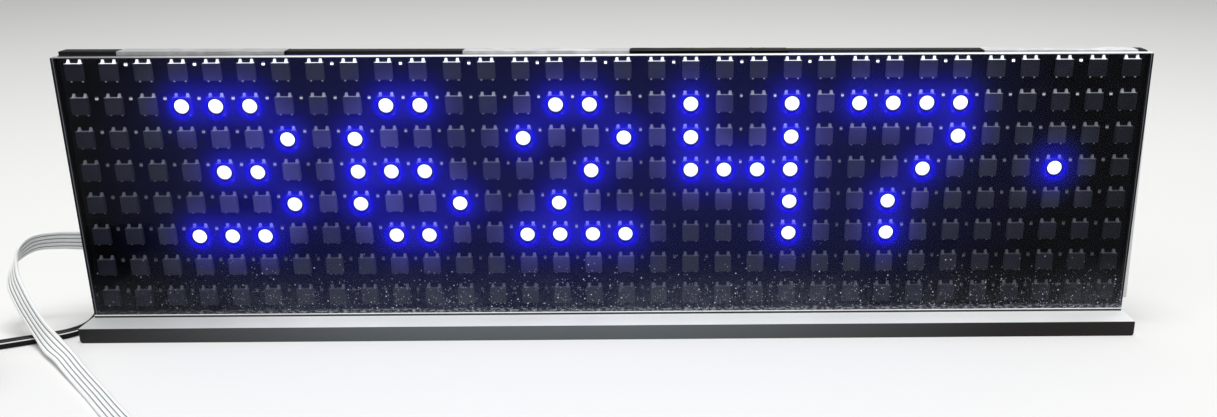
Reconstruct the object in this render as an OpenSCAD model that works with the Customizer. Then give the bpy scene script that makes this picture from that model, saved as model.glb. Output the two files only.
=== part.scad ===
// LED dot matrix: a board of 32 by 8 lamps behind a smoked sheet, standing on a flat bar.
// Millimetres, +Z up, the front faces -Y, and the origin is the middle of the bar's underside.

/* [Lamp grid] */
// Distance between neighbouring lamps
pitch = 10; // [8:0.5:14]
// Side of one lamp's square housing
lamp_w = 5; // [4:0.1:6]
// Height of a housing above the board
lamp_t = 1.6; // [1.2:0.1:2.4]
// Diameter of the round resin window
window_d = 4.2; // [3:0.1:4.6]
// Depth of the resin behind the window
window_depth = 1.1; // [0.6:0.1:1.1]
// Thickness of the lamp board
board_t = 0.5; // [0.3:0.1:1.6]

/* [Front sheet] */
// Thickness of the smoked sheet
sheet_t = 3; // [2:0.5:5]
// How much the panel falls short of the full grid in width
side_trim = 1; // [0:0.1:2]
// How much the panel falls short of the full grid in height
top_trim = 0.5; // [0:0.1:1]
// Polished bevel along the sheet's long edges
sheet_bevel = 0.25; // [0.1:0.05:0.5]

/* [Base bar] */
// Depth of the bar from front to back
bar_d = 50; // [42:1:80]
// Thickness of the bar
bar_h = 4.6; // [4:0.1:8]
// Shelf left in front of the sheet
shelf = 9.5; // [5:0.5:15]
// How far the bar stands out past each end of the panel
bar_margin = 0.75; // [0.4:0.05:4]
// Radius worn on the bar's lower corners
bar_corner = 0.9; // [0.3:0.1:2]
// Thickness of the tape that the panel stands on
foot_tape_t = 0.5; // [0.3:0.1:1]

/* [Backing] */
// Thickness of the backing plate
backing_t = 5; // [3:0.5:8]
// How far the plate stands above the panel in the middle
backing_over = 0.6; // [0.5:0.05:2]
// How much higher the plate is cut at its left end
backing_rise = 0.9; // [0:0.1:1]
// Thickness of the cloth tape
tape_t = 0.3; // [0.2:0.05:0.5]
// Width of the cloth tape
tape_w = 48.5; // [38:0.5:52]
// How far the cloth tape runs down the back
tape_back = 38; // [20:1:40]
// Width of the pale tape along the right edge
edge_tape_w = 14; // [10:1:20]
// How far that tape stands out past the sheet, half way up
edge_tape_out = 2.6; // [1.5:0.1:4]
// Lean of that tape in degrees
edge_tape_lean = 1; // [0:0.1:2]

/* [Brackets] */
// Distance of each bracket from the middle
bracket_x = 78; // [60:1:84]
// Width of a bracket
bracket_w = 24; // [16:1:24]
// Height of a bracket's upright
bracket_h = 46; // [30:1:60]
// Length of a bracket's foot
bracket_foot = 20; // [16:1:24]
// Thickness of the folded strip
bracket_t = 2; // [1.5:0.5:3]
// Thickness of the adhesive pads
pad_t = 1; // [0.8:0.1:2]
// Shank diameter of the screws
screw_d = 3; // [2.5:0.5:4]

/* [Ribbon] */
// Width of the flat ribbon of five cores
ribbon_w = 6.2; // [5:0.1:8]
// Thickness of the ribbon
ribbon_t = 0.9; // [0.7:0.1:1.2]
// Radius of the ribbon's coil at the middle of its turns
ribbon_coil_r = 33.6; // [32:0.2:40]
// Radial thickness of the ribbon's coil
ribbon_coil_t = 5.2; // [5:0.2:9]

/* [Power lead] */
// Width of the twin-core lead
lead_w = 4.2; // [3.6:0.1:5]
// Thickness of the lead
lead_t = 2.1; // [1.8:0.1:2.5]
// Radius of the lead's coil at the middle of its turns
lead_coil_r = 24; // [22:0.5:30]
// Diameter of the plug's body
plug_d = 9.6; // [8:0.1:12]

/* [Hidden] */

columns = 32;
rows = 8;

// Panel outline
panel_w = columns * pitch - side_trim;
panel_h = rows * pitch - top_trim;
panel_z = bar_h + foot_tape_t;
bar_w = panel_w + 2 * bar_margin;

// Layers from front to back
sheet_y = -bar_d / 2 + shelf;
lamp_y = sheet_y + sheet_t;
board_y = lamp_y + lamp_t;
edge_tape_y = board_y + board_t;
backing_y = edge_tape_y + tape_t;
back_y = backing_y + backing_t;
pad_end_y = back_y + pad_t;

// Top edge of the backing plate, which falls slightly from left to right
backing_top = panel_z + panel_h + backing_over;
backing_slope = atan(backing_rise / panel_w);

// The numerals shown, four dots wide and five high, and the dot after them
numerals = [["###.", "...#", ".##.", "...#", "###."],
            [".##.", "#...", "###.", "#..#", ".##."],
            [".##.", "#..#", "..#.", ".#..", "####"],
            ["#..#", "#..#", "####", "...#", "...#"],
            ["####", "...#", "..#.", ".#..", ".#.."]];
numeral_step = 5;
first_numeral_column = 4;
first_numeral_row = 2;
last_dot = [30, 4];

// Small parts
capacitor = [0.8, 1.2, 0.6];
capacitor_up = 2.1;
input_board_size = [34, 1.6, 28];
input_board_left = 8;
input_board_low = 5.4;
socket = [7, 4.2, 9.6];
terminal = [9, 8, 9];
terminal_z = panel_z + 10.4;
socket_z = panel_z + 19.9;
socket_clear = 0.15;
meet = 0.1;
pin_d = 1;
pin_clear = 0.3;
pin_pitch = 5;
screw_clear = 0.2;
screw_head_d = 5.6;
screw_head_h = 2;
bracket_screw_gap = 12;
input_y = back_y + pad_t + input_board_size.y;
board_left = -panel_w / 2 + input_board_left;
ribbon_exit = [board_left, input_y + socket.y / 2, socket_z];
lead_exit = [board_left, input_y + terminal.y / 2, terminal_z];
$fn = 48;

function row_z(row) = panel_z + panel_h / 2 + (rows / 2 + 0.5 - row) * pitch;
function column_x(column) = (column - columns / 2 - 0.5) * pitch;
function in_numerals(column, row) =
    let (n = floor((column - first_numeral_column) / numeral_step),
         dot = (column - first_numeral_column) % numeral_step,
         line = row - first_numeral_row)
    column >= first_numeral_column && n < len(numerals) && dot < 4 && line >= 0 && line < 5
    && numerals[n][line][dot] == "#";
function is_lit(column, row) = in_numerals(column, row) || [column, row] == last_dot;

// Vector helpers for the cords
function unit(v) = v / norm(v);
function heading(route, i) = unit(route[min(i + 1, len(route) - 1)] - route[max(i - 1, 0)]);
function left_of(t) = unit([-t.y, t.x, 0]);
// Direction of a flat cord's width: upright where lay is 0 and lying flat where lay is 1
function width_way(t, lay) =
    let (up = [0, 0, 1] * (1 - lay) + left_of(t) * lay)
    unit(up - t * (up * t));

// Route of the ribbon from its socket, round to the front and down to the surface,
// as places measured from its exit and how far its width has turned from upright to flat
ribbon_points = [[3.5, 0, 0, 0], [0, 0, 0, 0], [-8.5, 0, 0, 0], [-16.5, 0, 0.1, 0.03],
                 [-23.8, -0.8, 0.4, 0.13], [-29.8, -3.2, 0, 0.27], [-33, -7.4, -3.2, 0.36],
                 [-32.4, -12.4, -8.2, 0.36], [-28.2, -17.6, -12.8, 0.34], [-23, -22.8, -17, 0.33],
                 [-17.5, -28.2, -20.2, 0.4], [-12, -33.6, -22.2, 0.65], [-6, -39.6, -23.2, 0.92],
                 [0, -46.6, -23.9, 1], [7, -54.8, -24.3, 1], [13.8, -62.8, -24.5, 1],
                 [20.5, -71, -24.5, 1], [27.5, -79.4, -24.4, 0.95], [34.2, -87.4, -23.2, 0.7],
                 [40.6, -94.9, -21.8, 0.3], [45.8, -101.6, -21.7, 0.05], [49.6, -107.6, -21.7, 0]];
ribbon_route = [for (p = ribbon_points) ribbon_exit + [p[0], p[1], p[2]]];
ribbon_lay = [for (p = ribbon_points) p[3]];
ribbon_end = ribbon_route[len(ribbon_route) - 1];
ribbon_end_side = left_of(heading(ribbon_route, len(ribbon_route) - 1));
ribbon_coil_out = ribbon_coil_r + ribbon_coil_t / 2 + ribbon_t / 2 + meet;
ribbon_coil_at = ribbon_end - ribbon_coil_out * ribbon_end_side;
ribbon_coil_h = ribbon_w + 0.4;
connector = [14, 13, 2.6];
connector_turn = 315;
ribbon_tie_turn = 235;

// Route of the lead from its terminal, down past the bar's end and out to the side
lead_points = [[4, 0, 0], [0, 0, 0], [-3.6, 0.1, -0.5], [-6.6, 0.2, -2.1], [-8.9, 0, -4.6],
               [-10.4, -0.7, -7.5], [-11.1, -2.1, -10.2], [-11.4, -4.3, -12.4], [-11.4, -7.1, -13.8],
               [-11.4, -10.3, -14.4], [-11.4, -13.6, -14.4], [-12.2, -17, -14.4], [-14.6, -20.5, -14.4],
               [-18.2, -23, -14.4], [-25, -26.4, -14.4], [-32, -29.9, -14.4], [-39, -33, -14.4],
               [-46, -34.9, -14.4], [-53, -35.8, -14.4]];
lead_route = [for (p = lead_points) lead_exit + p];
lead_end = lead_route[len(lead_route) - 1];
lead_end_side = left_of(heading(lead_route, len(lead_route) - 1));
lead_coil_t = 2 * lead_w + 0.6;
lead_coil_h = 4 * lead_t + 0.6;
lead_coil_out = lead_coil_r + lead_coil_t / 2 + lead_w / 2 + meet;
lead_coil_at = lead_end + lead_coil_out * lead_end_side;
plug_l = 24;
plug_relief_l = 14;
plug_barrel_d = 5.5;
plug_barrel_l = 9.5;
plug_back = 14;
plug_gap = 0.4;
lead_tie_turn = 60;

// The bands that hold the coils
tie_t = 1.2;
tie_w = 5;
tie_clear = 0.3;

// A block from x0, centred in x, with its front at y and its foot at z
module block(size, y, z) {
    translate([-size.x / 2, y, z]) cube(size);
}

// A profile drawn in the YZ plane and run along X, centred
module run_along_x(length) {
    translate([-length / 2, 0, 0]) rotate([90, 0, 90]) linear_extrude(length) children();
}

module base_bar() {
    color("silver") difference() {
        intersection() {
            block([bar_w, bar_d, bar_h], -bar_d / 2, 0);
            translate([0, bar_d / 2 + 1, 0]) rotate([90, 0, 0]) linear_extrude(bar_d + 2) bar_end();
        }
        for (side = [-1, 1], k = [-0.5, 0.5])
            translate([side * bracket_x + k * bracket_screw_gap, screw_y(), -1])
                cylinder(d = screw_d + screw_clear / 2, h = bar_h + 2);
    }
}

// The bar seen from the front, with its two lower corners rounded
module bar_end() {
    translate([-bar_w / 2, bar_corner]) square([bar_w, bar_h]);
    translate([-bar_w / 2 + bar_corner, 0]) square([bar_w - 2 * bar_corner, bar_h]);
    for (side = [-1, 1])
        translate([side * (bar_w / 2 - bar_corner), bar_corner]) circle(bar_corner);
}

module foot_tape() {
    color("black") block([panel_w, back_y - sheet_y, foot_tape_t], sheet_y, bar_h);
}

module front_sheet() {
    b = sheet_bevel;
    color([0.12, 0.13, 0.15, 0.5]) run_along_x(panel_w) translate([sheet_y, panel_z])
        polygon([[b, 0], [sheet_t - b, 0], [sheet_t, b], [sheet_t, panel_h - b],
                 [sheet_t - b, panel_h], [b, panel_h], [0, panel_h - b], [0, b]]);
}

// One lamp housing with its round pocket, centred on the grid point
module lamp_housing() {
    difference() {
        translate([-lamp_w / 2, 0, -lamp_w / 2]) cube([lamp_w, lamp_t, lamp_w]);
        translate([0, window_depth, 0]) rotate([90, 0, 0]) cylinder(d = window_d, h = window_depth + 1);
    }
}

module led_row(row) {
    color([0.16, 0.16, 0.17]) for (column = [1:columns])
        translate([column_x(column), lamp_y, row_z(row)]) lamp_housing();
}

// The resin in every lamp whose state matches lit
module led_windows(lit) {
    for (row = [1:rows], column = [1:columns])
        if (is_lit(column, row) == lit)
            translate([column_x(column), lamp_y + window_depth, row_z(row)])
                rotate([90, 0, 0]) cylinder(d = window_d, h = window_depth);
}

module led_windows_lit() {
    color([0.8, 0.85, 1]) led_windows(true);
}

module led_windows_unlit() {
    color([0.3, 0.3, 0.3]) led_windows(false);
}

// A capacitor between neighbouring lamps; the top row has one at every second gap
module capacitors() {
    color([0.5, 0.4, 0.3]) for (row = [1:rows], column = [1:columns - 1])
        if (row > 1 || column % 2 == 0)
            translate([column_x(column) + pitch / 2 - capacitor.x / 2, board_y - capacitor.z,
                       row_z(row) + capacitor_up - capacitor.y / 2])
                cube([capacitor.x, capacitor.z, capacitor.y]);
}

module led_board() {
    color([0.05, 0.05, 0.07]) block([panel_w, board_t, panel_h], board_y, panel_z);
}

// Pale tape between the board and the backing plate, put on with a slight lean
module edge_tape() {
    length = panel_h - 4;
    color([0.85, 0.85, 0.84])
        translate([panel_w / 2 + edge_tape_out, edge_tape_y, panel_z + panel_h / 2])
            rotate([0, -edge_tape_lean, 0]) translate([-edge_tape_w, 0, -length / 2])
                cube([edge_tape_w, tape_t, length]);
}

module backing_plate() {
    color([0.06, 0.06, 0.06]) difference() {
        translate([0, back_y, 0]) rotate([90, 0, 0]) linear_extrude(backing_t)
            polygon([[-panel_w / 2, panel_z], [panel_w / 2, panel_z],
                     [panel_w / 2, backing_top - backing_rise / 2],
                     [-panel_w / 2, backing_top + backing_rise / 2]]);
        feed_places() rotate([-90, 0, 0]) translate([0, 0, backing_y - 1])
            cylinder(d = pin_d + 2 * pin_clear, h = backing_t + 2);
    }
}

// A strip of cloth tape folded over the plate's top edge, from x0 to x0 + w
module folded_tape(x0, w, down) {
    front = backing_y - board_t - tape_t - 0.6;
    translate([0, 0, backing_top]) rotate([0, backing_slope, 0]) translate([x0 + w / 2, 0, 0])
        run_along_x(w)
            polygon([[front, 0], [back_y, 0], [back_y, -down], [back_y + tape_t, -down],
                     [back_y + tape_t, tape_t], [front, tape_t]]);
}

module silver_tape_left() {
    color([0.62, 0.63, 0.64]) folded_tape(-panel_w / 2 + 17.5, tape_w, tape_back);
}

module silver_tape_centre() {
    color([0.62, 0.63, 0.64]) folded_tape(-panel_w / 2 + 118, tape_w, tape_back);
}

module silver_tape_right() {
    color([0.62, 0.63, 0.64]) folded_tape(panel_w / 2 - 3 - 0.93 * tape_w, 0.93 * tape_w, tape_back);
}

module black_tape() {
    color([0.04, 0.04, 0.04]) folded_tape(-panel_w / 2 + 118.5 + tape_w, 46, tape_back * 0.8);
}

function screw_y() = pad_end_y + bracket_t + (bracket_foot - bracket_t) * 0.55;

// A strip folded to a right angle: its foot lies on the bar and its upright backs the plate
module bracket(side) {
    color("silver") difference() {
        translate([side * bracket_x, 0, 0]) run_along_x(bracket_w) translate([pad_end_y, bar_h])
            bracket_profile();
        for (k = [-0.5, 0.5])
            translate([side * bracket_x + k * bracket_screw_gap, screw_y(), bar_h - 1])
                cylinder(d = screw_d + 2 * screw_clear, h = bracket_t + 2);
    }
}

module bracket_profile() {
    difference() {
        union() {
            translate([0, bracket_t]) square([bracket_t, bracket_h - bracket_t]);
            translate([bracket_t, 0]) square([bracket_foot - bracket_t, bracket_t]);
            translate([bracket_t, bracket_t]) circle(bracket_t);
            translate([bracket_t, bracket_t]) square(bracket_t * 0.6);
        }
        translate([1.6 * bracket_t, 1.6 * bracket_t]) circle(0.6 * bracket_t);
    }
}

module bracket_left() {
    bracket(-1);
}

module bracket_right() {
    bracket(1);
}

module bracket_pads() {
    color("white") for (side = [-1, 1])
        translate([side * bracket_x, 0, 0])
            block([bracket_w - 2, pad_t, bracket_h - 2 * bracket_t - 2], back_y, bar_h + 2 * bracket_t);
}

// A pan-head screw standing in the bar, its head on the bracket's foot
module pan_screw() {
    translate([0, 0, bar_h + bracket_t]) cylinder(d = screw_head_d, h = screw_head_h * 0.6);
    translate([0, 0, bar_h + bracket_t + screw_head_h * 0.6])
        cylinder(d1 = screw_head_d, d2 = screw_head_d * 0.7, h = screw_head_h * 0.4);
    translate([0, 0, 0.4]) cylinder(d = screw_d, h = bar_h + bracket_t - 0.4);
}

module bracket_screws() {
    color("silver") for (side = [-1, 1], k = [-0.5, 0.5])
        translate([side * bracket_x + k * bracket_screw_gap, screw_y(), 0]) difference() {
            pan_screw();
            translate([0, 0, bar_h + bracket_t + screw_head_h - 1.1]) screw_recess();
        }
}

// The cross cut in a screw's head
module screw_recess() {
    for (turn = [0, 90])
        rotate([0, 0, turn]) translate([-1.4, -0.35, 0]) cube([2.8, 0.7, 2]);
}

// Places of the feed pins, as points on the XZ plane
module feed_places() {
    for (k = [-1:1])
        translate([board_left + input_board_size.x - 8, 0, panel_z + input_board_low + 14 + k * pin_pitch])
            children();
}

module input_board() {
    color([0.05, 0.3, 0.15]) translate([board_left, back_y + pad_t, panel_z + input_board_low])
        cube(input_board_size);
}

module input_board_pad() {
    color("white") difference() {
        translate([board_left + 1, back_y, panel_z + input_board_low + 1])
            cube([input_board_size.x - 2, pad_t, input_board_size.z - 2]);
        feed_places() rotate([-90, 0, 0]) translate([0, 0, back_y - 1])
            cylinder(d = pin_d + 2 * pin_clear, h = pad_t + 2);
    }
}

module feed_pins() {
    color([0.8, 0.7, 0.4]) feed_places() rotate([-90, 0, 0]) translate([0, 0, edge_tape_y])
        cylinder(d = pin_d, h = back_y + pad_t - edge_tape_y);
}

module ribbon_socket() {
    color([0.93, 0.92, 0.88]) difference() {
        translate([ribbon_exit.x, input_y, ribbon_exit.z - socket.z / 2]) cube(socket);
        translate([ribbon_exit.x - 1, ribbon_exit.y - ribbon_t / 2 - socket_clear,
                   ribbon_exit.z - ribbon_w / 2 - socket_clear])
            cube([6, ribbon_t + 2 * socket_clear, ribbon_w + 2 * socket_clear]);
    }
}

module power_terminal() {
    color([0.1, 0.4, 0.2]) difference() {
        translate([lead_exit.x, input_y, lead_exit.z - terminal.z / 2]) cube(terminal);
        translate([lead_exit.x - 1, lead_exit.y - lead_w / 2 - socket_clear,
                   lead_exit.z - lead_t / 2 - socket_clear])
            cube([6, lead_w + 2 * socket_clear, lead_t + 2 * socket_clear]);
        for (k = [-1, 1])
            translate([lead_exit.x + 5, lead_exit.y + k * 2, lead_exit.z + terminal.z / 2 - 1.2])
                cylinder(d = 2.8, h = 2);
    }
}

// A closed skin through rings of equal point counts
module skin(rings) {
    n = len(rings[0]);
    last = len(rings) - 1;
    polyhedron(points = [for (ring = rings) each ring],
               faces = concat([[for (k = [n - 1:-1:0]) k]],
                              [for (i = [0:last - 1], k = [0:n - 1])
                                   each [[i * n + k, i * n + (k + 1) % n, (i + 1) * n + (k + 1) % n],
                                         [i * n + k, (i + 1) * n + (k + 1) % n, (i + 1) * n + k]]],
                              [[for (k = [0:n - 1]) last * n + k]]),
               convexity = 8);
}

// A flat cord of width w and thickness t along a route; lay turns its width from upright to flat
module flat_cord(route, lay, w, t) {
    corner = [[0.5, 0.25], [0.36, 0.5], [-0.36, 0.5], [-0.5, 0.25],
              [-0.5, -0.25], [-0.36, -0.5], [0.36, -0.5], [0.5, -0.25]];
    skin([for (i = [0:len(route) - 1])
              let (way = heading(route, i), across = width_way(way, lay[i]), out = cross(way, across))
              [for (c = corner) route[i] + across * (c.x * w) + out * (c.y * t)]]);
}

module ribbon_cable() {
    color("white") flat_cord(ribbon_route, ribbon_lay, ribbon_w, ribbon_t);
}

// A flat ring that stands for the turns of a coiled cord
module coil_ring(at, r, t, h) {
    translate([at.x, at.y, 0]) rotate_extrude($fn = 96) translate([r - t / 2, 0]) square([t, h]);
}

module ribbon_coil() {
    color("white") coil_ring(ribbon_coil_at, ribbon_coil_r, ribbon_coil_t, ribbon_coil_h);
}

// A band round the turns of a coil, on the coil's side away from the object
module coil_tie(at, r, t, h, turn) {
    translate([at.x, at.y, 0]) rotate([0, 0, turn]) translate([r, 0, 0]) difference() {
        translate([-t / 2 - tie_clear - tie_t, -tie_w / 2, 0])
            cube([t + 2 * (tie_clear + tie_t), tie_w, h + tie_clear + tie_t]);
        translate([-t / 2 - tie_clear, -tie_w, -1]) cube([t + 2 * tie_clear, 2 * tie_w, h + tie_clear + 1]);
    }
}

module ribbon_tie() {
    color([0.1, 0.1, 0.1]) coil_tie(ribbon_coil_at, ribbon_coil_r, ribbon_coil_t, ribbon_coil_h,
                                    ribbon_tie_turn);
}

// The five-way housing on the ribbon's far end, lying across the top of the coil
module ribbon_connector() {
    color([0.12, 0.12, 0.12])
        translate([ribbon_coil_at.x, ribbon_coil_at.y, ribbon_coil_h]) rotate([0, 0, connector_turn])
            translate([ribbon_coil_r, 0, 0]) difference() {
                translate([-connector.x / 2, -connector.y / 2, 0]) cube(connector);
                for (k = [-2:2])
                    translate([connector.x / 2 - 6, k * 2.54 - 0.5, connector.z / 2 - 0.5])
                        cube([7, 1, 1]);
            }
}

module power_lead() {
    color([0.06, 0.06, 0.06])
        flat_cord(lead_route, [for (p = lead_points) 1], lead_w, lead_t);
}

module lead_coil() {
    color([0.06, 0.06, 0.06]) coil_ring(lead_coil_at, lead_coil_r, lead_coil_t, lead_coil_h);
}

module lead_tie() {
    color([0.15, 0.15, 0.15]) coil_tie(lead_coil_at, lead_coil_r, lead_coil_t, lead_coil_h, lead_tie_turn);
}

// A round barrel plug with its tapered relief, lying on the surface beside the coil
module lead_plug() {
    across = lead_coil_r + lead_coil_t / 2 + plug_gap + plug_d / 2;
    color([0.07, 0.07, 0.07])
        translate([lead_coil_at.x - plug_back, lead_coil_at.y - across, plug_d / 2]) rotate([0, 90, 0]) {
            cylinder(d1 = 5, d2 = 7, h = plug_relief_l);
            translate([0, 0, plug_relief_l]) cylinder(d = plug_d, h = plug_l);
            translate([0, 0, plug_relief_l + plug_l]) difference() {
                cylinder(d = plug_barrel_d, h = plug_barrel_l);
                translate([0, 0, 1]) cylinder(d = 2.1, h = plug_barrel_l);
            }
        }
}

base_bar();
foot_tape();
front_sheet();
led_row(1);  // led_row_1
led_row(2);  // led_row_2
led_row(3);  // led_row_3
led_row(4);  // led_row_4
led_row(5);  // led_row_5
led_row(6);  // led_row_6
led_row(7);  // led_row_7
led_row(8);  // led_row_8
led_windows_lit();
led_windows_unlit();
capacitors();
led_board();
edge_tape();
backing_plate();
silver_tape_left();
silver_tape_centre();
silver_tape_right();
black_tape();
bracket_left();
bracket_right();
bracket_pads();
bracket_screws();
input_board();
input_board_pad();
feed_pins();
ribbon_socket();
power_terminal();
ribbon_cable();
ribbon_coil();
ribbon_tie();
ribbon_connector();
power_lead();
lead_coil();
lead_tie();
lead_plug();
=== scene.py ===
"""Looks of the LED dot matrix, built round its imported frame: lamps, smoked sheet, bar, tapes and cords."""
import math
from functools import reduce

import bmesh
import bpy
import numpy as np
from bpy.props import FloatProperty, FloatVectorProperty, IntProperty, PointerProperty
from mathutils import Matrix, Vector


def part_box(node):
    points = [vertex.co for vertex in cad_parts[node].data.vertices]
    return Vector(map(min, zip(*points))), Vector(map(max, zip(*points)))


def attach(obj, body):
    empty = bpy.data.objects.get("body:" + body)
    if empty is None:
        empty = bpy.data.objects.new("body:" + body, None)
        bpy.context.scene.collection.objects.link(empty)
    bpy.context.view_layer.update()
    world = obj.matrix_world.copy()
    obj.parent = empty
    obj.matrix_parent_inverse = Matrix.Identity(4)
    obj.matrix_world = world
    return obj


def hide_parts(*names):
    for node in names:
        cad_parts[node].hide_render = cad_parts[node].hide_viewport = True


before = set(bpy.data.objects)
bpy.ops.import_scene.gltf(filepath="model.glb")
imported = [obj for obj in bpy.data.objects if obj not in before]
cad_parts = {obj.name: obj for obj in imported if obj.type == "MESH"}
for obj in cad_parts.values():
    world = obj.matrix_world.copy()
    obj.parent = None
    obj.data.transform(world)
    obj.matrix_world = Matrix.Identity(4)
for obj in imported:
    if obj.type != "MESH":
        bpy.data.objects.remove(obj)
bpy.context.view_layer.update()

bl_info = {
    "name": "LED dot matrix",
    "version": (1, 0, 0),
    "blender": (4, 5, 0),
    "location": "View3D > Sidebar > Matrix",
    "description": "Builds the lamps, smoked sheet, metal bar, tapes and cords of an LED dot matrix",
    "category": "Object",
}

MM = 0.001


# ---- Places taken from the frame ----

def box(node):
    """Lowest and highest corners of a node."""
    return np.array(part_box(node))


def middle(node):
    """Middle of a node's box."""
    return box(node).mean(0)


def left_middle(node):
    """Middle of the left side of a node's box."""
    return np.array([box(node)[0, 0], *middle(node)[1:]])


def mesh_points(node):
    """Every vertex of a CAD node, as an array of places."""
    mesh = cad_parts[node].data
    places = np.empty(len(mesh.vertices) * 3)
    mesh.vertices.foreach_get("co", places)
    return places.reshape(-1, 3)


ROWS, COLUMNS = 8, 32
SHEET_LOW, SHEET_HIGH = box("front_sheet")
SHEET_FRONT, SHEET_REAR = SHEET_LOW[1], SHEET_HIGH[1]
ROW_LOW, ROW_HIGH = box("led_row_1")
LAMP_W = ROW_HIGH[2] - ROW_LOW[2]
PITCH = (ROW_HIGH[0] - ROW_LOW[0] - LAMP_W) / (COLUMNS - 1)
GRID_LEFT = ROW_LOW[0] + LAMP_W / 2
GRID_TOP = ROW_LOW[2] + LAMP_W / 2
BOARD_FRONT = ROW_HIGH[1]
# The housings' faces, from the board
FACE_DEPTH = SHEET_REAR + 0.1 * MM - BOARD_FRONT
CUP_RADIUS, WINDOW_RADIUS = 2.2 * MM, 2.1 * MM


def cells_at(points):
    """Row and column of the lamp nearest each point, by counting pitches from the grid's corner."""
    row = np.round((GRID_TOP - points[:, 2]) / PITCH).astype(int)
    column = np.round((points[:, 0] - GRID_LEFT) / PITCH).astype(int)
    return np.clip(row, 0, ROWS - 1), np.clip(column, 0, COLUMNS - 1)


def grid_places(wanted):
    """Centres of the cells that a table wants, as places on the board's front."""
    row, column = np.nonzero(wanted)
    return np.stack([GRID_LEFT + column * PITCH, np.full(len(row), BOARD_FRONT), GRID_TOP - row * PITCH], -1)


EVERY = np.ones((ROWS, COLUMNS))
LIT = np.zeros((ROWS, COLUMNS))
LIT[cells_at(mesh_points("led_windows_lit"))] = 1
TOO_WEAK = 0.06


def light_on(points, on_lamps=False):
    """Light kept on each point. Glow is a sum over the lit lamps: a bell of the distance in the panel's
    plane, plus a share that falls off slowly, less what is too weak to show. Daylight fades quickly with
    depth below the sheet's top edge, with a tail."""
    lamps = bpy.context.scene.matrix_lamps
    reach, spread = (lamps.face_reach, 0.045) if on_lamps else (lamps.near_reach, 0.024)
    glow = np.full(len(points), -TOO_WEAK)
    for place in grid_places(LIT):
        distance = np.hypot(points[:, 0] - place[0], points[:, 2] - place[2])
        glow += np.exp(-(distance / reach) ** 2) + spread * np.exp(-distance / lamps.wide_reach)
    depth = SHEET_HIGH[2] - points[:, 2]
    daylight = 0.85 * np.exp(-depth / (4 * MM)) + 0.15 * np.exp(-depth / (25 * MM))
    return {"glow": np.maximum(glow, 0), "daylight": daylight}


# ---- Meshes ----

def new_piece(name, shape, materials, replaces=(), numbers=None, kept=None, smooth=40):
    """A finished piece with outward faces, from points and faces of four corners, or of three and a -1.
    numbers picks a material for each face, and kept stays on each point or face."""
    points, faces = shape
    corners = faces >= 0
    counts = corners.sum(1)
    mesh = bpy.data.meshes.new(name)
    mesh.vertices.add(len(points))
    mesh.vertices.foreach_set("co", np.ravel(points).astype(np.float32))
    mesh.loops.add(int(counts.sum()))
    mesh.loops.foreach_set("vertex_index", faces[corners].astype(np.int32))
    mesh.polygons.add(len(faces))
    mesh.polygons.foreach_set("loop_start", (np.cumsum(counts) - counts).astype(np.int32))
    mesh.update(calc_edges=True)
    if numbers is not None:
        mesh.polygons.foreach_set("material_index", numbers.astype(np.int32))
    for key, values in (kept or {}).items():
        domain = "POINT" if len(values) == len(points) else "FACE"
        mesh.attributes.new(key, "FLOAT", domain).data.foreach_set("value", values)
    shell = bmesh.new()
    shell.from_mesh(mesh)
    bmesh.ops.recalc_face_normals(shell, faces=shell.faces)
    shell.to_mesh(mesh)
    shell.free()
    return settle(name, mesh, materials, replaces, smooth)


def linked(name, data):
    """A new object in the scene."""
    item = bpy.data.objects.new(name, data)
    bpy.context.collection.objects.link(item)
    return item


def settle(name, mesh, materials, replaces, smooth):
    """Makes a mesh a piece that stands for its CAD nodes, sharp where faces meet at more than smooth."""
    for material in materials:
        mesh.materials.append(material)
    mesh.polygons.foreach_set("use_smooth", np.ones(len(mesh.polygons), dtype=bool))
    mesh.set_sharp_from_angle(angle=math.radians(smooth))
    piece = linked(name, mesh)
    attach(piece, "root")
    if replaces:
        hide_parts(*replaces)
    return piece


def shell_of_rings(rings):
    """A closed shell through rings of equal point counts, each end a fan to its ring's middle."""
    count, around = rings.shape[:2]
    points = np.concatenate([rings.reshape(-1, 3), rings[:1].mean(1), rings[-1:].mean(1)])
    k = np.arange(around)
    after = (k + 1) % around
    start = np.arange(count - 1)[:, None] * around
    quads = np.stack([start + k, start + after, start + after + around, start + k + around], -1)
    last, tip, none = (count - 1) * around, np.full(around, count * around), np.full(around, -1)
    return points, np.concatenate([quads.reshape(-1, 4), np.stack([after, k, tip, none], -1),
                                   np.stack([last + k, last + after, tip + 1, none], -1)])


def repeated(shape, places):
    """A shape copied to each place: its points are shifted, and its faces counted on."""
    points, faces = shape
    spread = (places[:, None] + points).reshape(-1, 3)
    shift = np.arange(len(places))[:, None, None] * len(points)
    return spread, np.where(faces >= 0, faces + shift, -1).reshape(-1, 4)


def joined(shapes):
    """Several shapes as one."""
    starts = np.cumsum([0] + [len(points) for points, _ in shapes])
    faces = [np.where(faces >= 0, faces + start, -1) for (_, faces), start in zip(shapes, starts)]
    return np.concatenate([points for points, _ in shapes]), np.concatenate(faces)


def ring(radius, depth, around=24, square=False):
    """Points about the Y axis: a circle, or a square, where each direction's point is where it leaves it."""
    turn = (np.arange(around) + (0 if square else 0.5)) * 2 * np.pi / around
    way = np.stack([np.cos(turn), 0 * turn, np.sin(turn)], -1)
    if square:
        way /= np.abs(way).max(1)[:, None]
    return way * radius + (0, depth, 0)


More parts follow.
